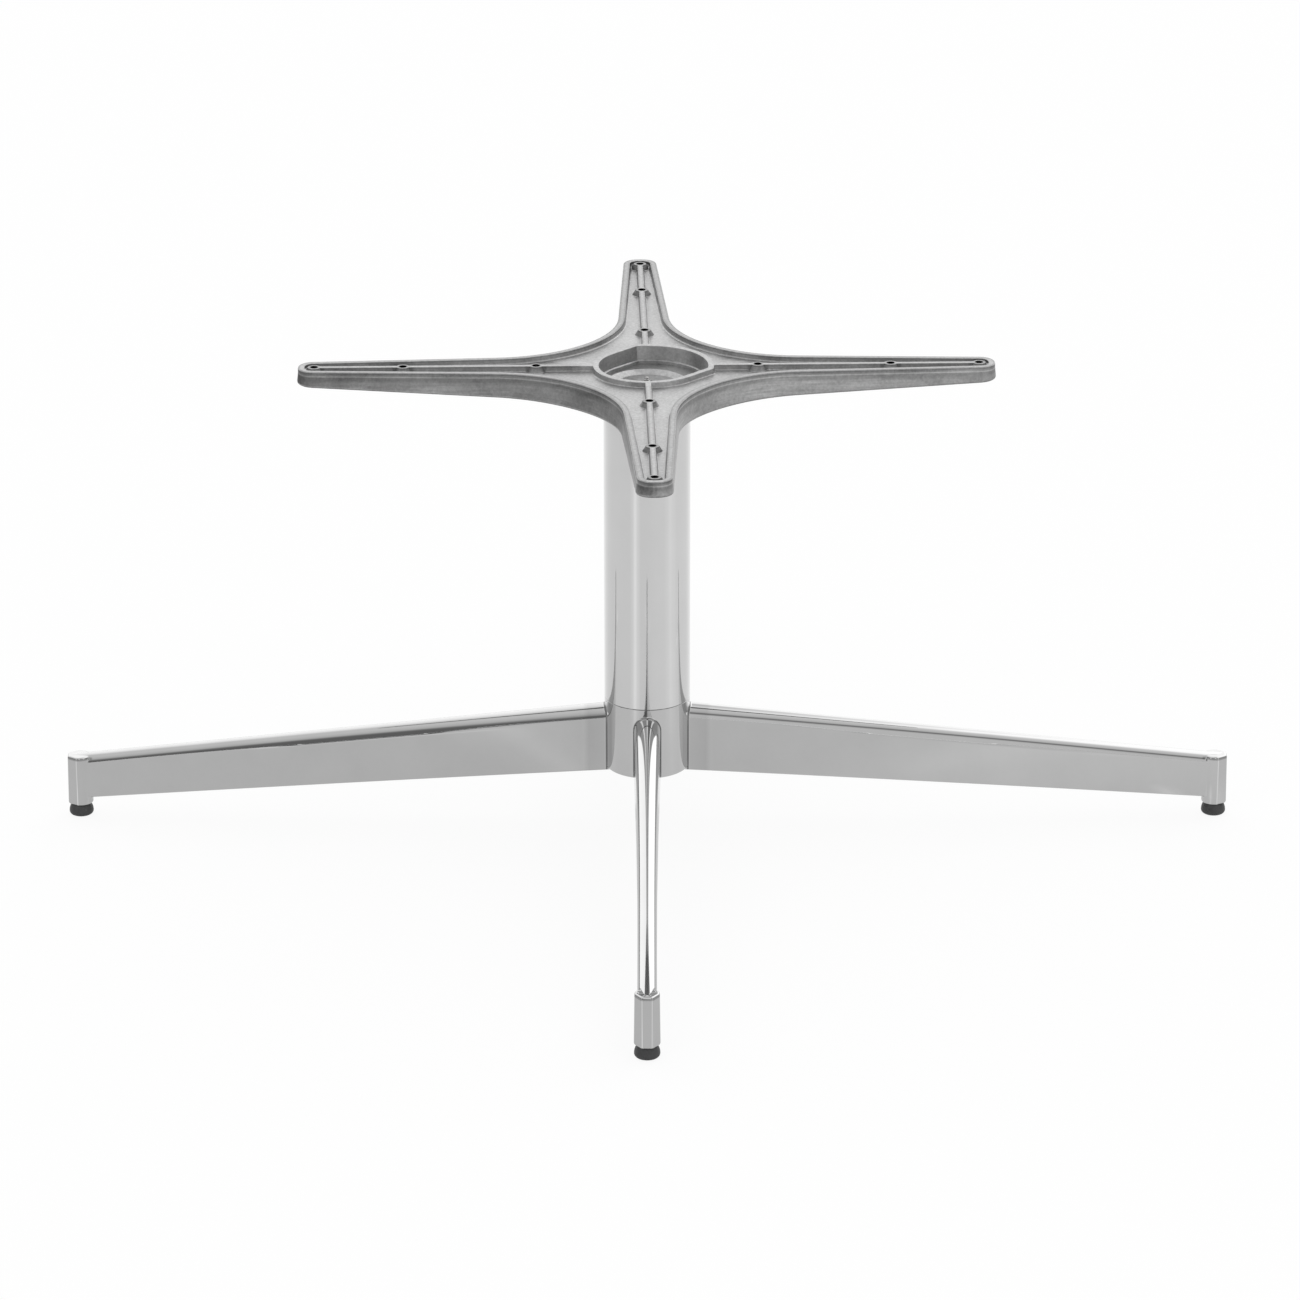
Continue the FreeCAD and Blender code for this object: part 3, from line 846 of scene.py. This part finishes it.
def makeWorld():
    world = bpy.data.worlds.new("studioLight")
    world.use_nodes = True
    scene.world = world
    tree = world.node_tree
    background = tree.nodes["Background"]
    parts = separated(tree, addNode(tree, "ShaderNodeTexCoord").outputs["Generated"])
    angle = maths(tree, "DIVIDE", maths(tree, "ARCTAN2", parts["Z"], parts["Y"]), math.pi)
    room = mixColours(tree, rising(tree, parts["X"], *studio["rightStart"]),
                      overhead(tree, angle, "leftLight"), overhead(tree, angle, "rightLight"))
    room = mixColours(tree, rising(tree, parts["X"], *studio["farRightStart"]), room,
                      overhead(tree, angle, "farRightLight"))
    side = rising(tree, absolute(tree, parts["X"]), *studio["sideStart"])
    room = mixColours(tree, side, room, plainGrey(studio["sideLight"] / studio["ceiling"]))
    for light in studio["frontLights"]:
        level = light["light"] / studio["ceiling"]
        room = mixColours(tree, frontLight(tree, parts, light), room, plainGrey(level))
    lit = addNode(tree, "ShaderNodeVectorMath", {"operation": "SCALE"}, Scale=studio["ceiling"])
    tree.links.new(room, lit.inputs[0])
    seen = addNode(tree, "ShaderNodeLightPath").outputs["Is Camera Ray"]
    shown = mixColours(tree, seen, lit.outputs["Vector"], plainGrey(1))
    tree.links.new(shown, background.inputs["Color"])
    background.inputs["Strength"].default_value = 1.0


def aroundPoint(tree, points, centre):
    # direction round a point of the floor, 0..1 for -180..180 degrees, and the distance from it
    shift = addNode(tree, "ShaderNodeVectorMath", {"operation": "SUBTRACT"})
    shift.inputs[1].default_value = (*centre, 0)
    tree.links.new(points, shift.inputs[0])
    turn = directionRound(tree, separated(tree, shift.outputs["Vector"]))
    turn = maths(tree, "ADD", maths(tree, "DIVIDE", turn, 2 * math.pi), 0.5)
    return turn, vectorMaths(tree, "LENGTH", shift.outputs["Vector"])


def padCentre(name):
    low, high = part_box(name)
    return ((low[0] + high[0]) / 2, (low[1] + high[1]) / 2)


def floorShine(tree, points):
    # soft streaks of light fan out from the column and from the three feet in view
    turn, length = aroundPoint(tree, points, (0, 0))
    shine = rampOf(tree, turn, studio["floorShine"], -180, 180)
    streak = rampOf(tree, turn, studio["streaks"], -180, 180)
    total = product(tree, streak, spread(tree, length, *studio["columnStreak"]))
    for name in studio["streakFeet"]:
        turn, length = aroundPoint(tree, points, padCentre(name))
        streak = rampOf(tree, turn, studio["streaks"], -180, 180)
        near = product(tree, streak, spread(tree, length, *studio["footStreak"]))
        total = maths(tree, "MAXIMUM", total, near)
    return maths(tree, "ADD", shine, maths(tree, "MULTIPLY", total, studio["streakLift"]))


def makeFloor():
    mesh = bpy.data.meshes.new("floor")
    work = bmesh.new()
    bmesh.ops.create_grid(work, x_segments=2, y_segments=2, size=studio["floorHalf"])
    work.to_mesh(mesh)
    work.free()
    floor = bpy.data.objects.new("floor", mesh)
    scene.collection.objects.link(floor)
    material = bpy.data.materials.new("paleFloor")
    material.use_nodes = True
    tree = material.node_tree
    tree.nodes.remove(tree.nodes["Principled BSDF"])
    points = addNode(tree, "ShaderNodeTexCoord").outputs["Object"]
    far = rising(tree, vectorMaths(tree, "LENGTH", points), *studio["floorFade"])
    path = addNode(tree, "ShaderNodeLightPath").outputs
    seen = path["Is Camera Ray"]
    grey = mixColours(tree, far, plainGrey(studio["floorGrey"]), plainGrey(studio["floorFarGrey"]))
    diffuse = addNode(tree, "ShaderNodeBsdfDiffuse")
    tree.links.new(mixColours(tree, seen, grey, plainGrey(1)), diffuse.inputs["Color"])
    glow = addNode(tree, "ShaderNodeEmission", None, Strength=1.0)
    shine = mixColours(tree, seen, floorShine(tree, points), plainGrey(1))
    tree.links.new(shine, glow.inputs["Color"])
    toRight = rising(tree, separated(tree, points)["X"], *studio["mirrorRight"])
    kept = maths(tree, "MAXIMUM", maths(tree, "SUBTRACT", 1.0, far), toRight)
    mirrored = maths(tree, "MAXIMUM", path["Is Glossy Ray"], path["Is Transmission Ray"])
    mirrored = product(tree, mirrored, kept, studio["mirrorShare"])
    share = maths(tree, "MAXIMUM", maths(tree, "MULTIPLY", seen, studio["cameraShare"]), mirrored)
    mix = addNode(tree, "ShaderNodeMixShader")
    tree.links.new(share, mix.inputs["Fac"])
    tree.links.new(diffuse.outputs["BSDF"], mix.inputs[1])
    tree.links.new(glow.outputs["Emission"], mix.inputs[2])
    tree.links.new(mix.outputs["Shader"], tree.nodes["Material Output"].inputs["Surface"])
    mesh.materials.append(material)


makeWorld()
makeFloor()
print("studio ready")


# camera, as far and as high as the photograph's

cameraPlace = {
    "location": (0.00295, -4.7132, 2.0057),
    "pitchDown": 21.443,
    "yawRight": -0.006,
    "roll": -0.044,
    "lens": 160.13,
    "sensor": 36.0,
    "farClip": 100.0,
}


def makeCamera():
    data = bpy.data.cameras.new("photoCamera")
    data.lens = cameraPlace["lens"]
    data.sensor_width = cameraPlace["sensor"]
    data.sensor_fit = "HORIZONTAL"
    data.clip_end = cameraPlace["farClip"]
    camera = bpy.data.objects.new("photoCamera", data)
    scene.collection.objects.link(camera)
    turn = Matrix.Rotation(math.radians(-cameraPlace["yawRight"]), 4, "Z")
    turn = turn @ Matrix.Rotation(math.radians(90 - cameraPlace["pitchDown"]), 4, "X")
    turn = turn @ Matrix.Rotation(math.radians(cameraPlace["roll"]), 4, "Z")
    camera.matrix_world = Matrix.Translation(Vector(cameraPlace["location"])) @ turn
    scene.camera = camera


makeCamera()
scene.view_settings.view_transform = "Standard"
print("camera ready")
